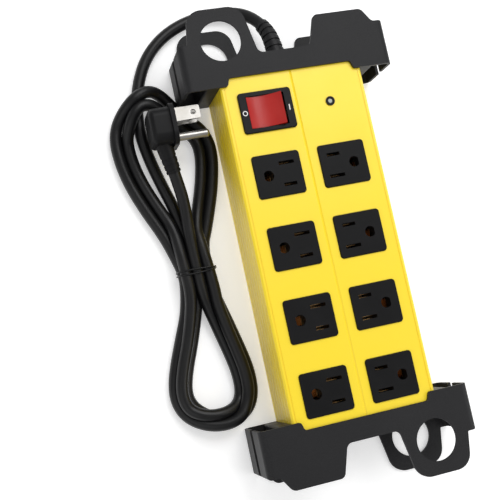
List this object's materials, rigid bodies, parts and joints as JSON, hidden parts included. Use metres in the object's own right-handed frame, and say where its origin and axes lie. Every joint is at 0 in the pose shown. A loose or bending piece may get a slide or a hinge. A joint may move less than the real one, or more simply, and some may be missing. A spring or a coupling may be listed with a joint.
{
  "type": "power strip",
  "caption": "Yellow metal power strip with two columns of grounded outlets, a lighted rocker switch, an indicator lamp, hanging brackets at both ends and a tied-up mains cord with its plug.",
  "frame": {"origin": "under the middle of the strip, on the surface its rear plates lie on", "axes": "+X across the strip, +Y along it towards the switch and the cord, +Z out of the outlets"},
  "size_m": [0.1711, 0.3003, 0.0437],
  "materials": {
    "yellow_paint": "satin powder coat",
    "charcoal_paint": "textured powder coat",
    "black_plastic": "moulded, matt",
    "outlet_plastic": "moulded, satin",
    "red_plastic": "translucent, glossy",
    "inner_plastic": "moulded, matt",
    "brass": "bright",
    "zinc_steel": "zinc plated",
    "board": "printed board",
    "blue_coating": "dipped epoxy",
    "capacitor_case": "moulded case",
    "fuse_case": "ceramic tube",
    "lamp_glass": "clear glass",
    "lens": "diffused",
    "wire_black": "wire insulation",
    "wire_white": "wire insulation",
    "wire_green": "wire insulation",
    "cord_rubber": "satin jacket",
    "plug_rubber": "moulded, satin",
    "tie_plastic": "plastic-covered wire",
    "nickel": "nickel plated"
  },
  "bodies": {
    "strip": {"housing_cover": "yellow_paint", "housing_base": "zinc_steel", "bracket_posts_top": "zinc_steel", "bracket_posts_bottom": "zinc_steel", "bracket_screws_top": "zinc_steel", "bracket_screws_bottom": "zinc_steel", "ground_screw": "zinc_steel", "end_cap_top": "black_plastic", "end_cap_bottom": "black_plastic", "switch_housing": "black_plastic", "led_bezel": "black_plastic", "cord_gland": "black_plastic", "bracket_front_top": "charcoal_paint", "bracket_front_bottom": "charcoal_paint", "bracket_rear_top": "charcoal_paint", "bracket_rear_bottom": "charcoal_paint", "outlet_left_1": "outlet_plastic", "outlet_left_2": "outlet_plastic", "outlet_left_3": "outlet_plastic", "outlet_left_4": "outlet_plastic", "bus_neutral_left": "brass", "bus_line_left": "brass", "bus_ground_left": "brass", "contact_carrier_left": "inner_plastic", "outlet_right_1": "outlet_plastic", "outlet_right_2": "outlet_plastic", "outlet_right_3": "outlet_plastic", "outlet_right_4": "outlet_plastic", "bus_neutral_right": "brass", "bus_line_right": "brass", "bus_ground_right": "brass", "contact_carrier_right": "inner_plastic", "switch_terminals": "brass", "board_standoffs": "inner_plastic", "switch_lamp": "lamp_glass", "led_lens": "lens", "surge_board": "board", "varistors": "blue_coating", "suppression_capacitor": "capacitor_case", "thermal_fuse": "fuse_case", "lead_line": "wire_black", "lead_switched": "wire_black", "lead_neutral": "wire_white", "lead_board": "wire_white", "lead_ground": "wire_green", "lead_bond": "wire_green", "cord_lead": "cord_rubber", "cord_hank": "cord_rubber", "cord_tail": "cord_rubber", "plug_body": "plug_rubber", "plug_relief": "plug_rubber", "cord_tie": "tie_plastic", "plug_blade_line": "nickel", "plug_blade_neutral": "nickel", "plug_ground_pin": "nickel", "pan_screws": "zinc_steel", "bus_jumpers": "brass"},
    "rocker": {"switch_rocker": "red_plastic", "switch_plunger": "inner_plastic"},
    "contact_arm": {"switch_contact_arm": "brass"}
  },
  "joints": [
    {"name": "rocker_press", "type": "hinge", "parent": "strip", "child": "rocker", "pos_m": [-0.0187, 0.0799, 0.036], "axis": [0, 1, 0], "range_deg": [0, 20]},
    {"name": "contact_tilt", "type": "hinge", "parent": "strip", "child": "contact_arm", "pos_m": [-0.0187, 0.0799, 0.025], "axis": [0, 1, 0], "range_deg": [-16, 0]}
  ],
  "couplings": [
    {"joint": "contact_tilt", "follows": "rocker_press", "ratio": -0.8}
  ]
}
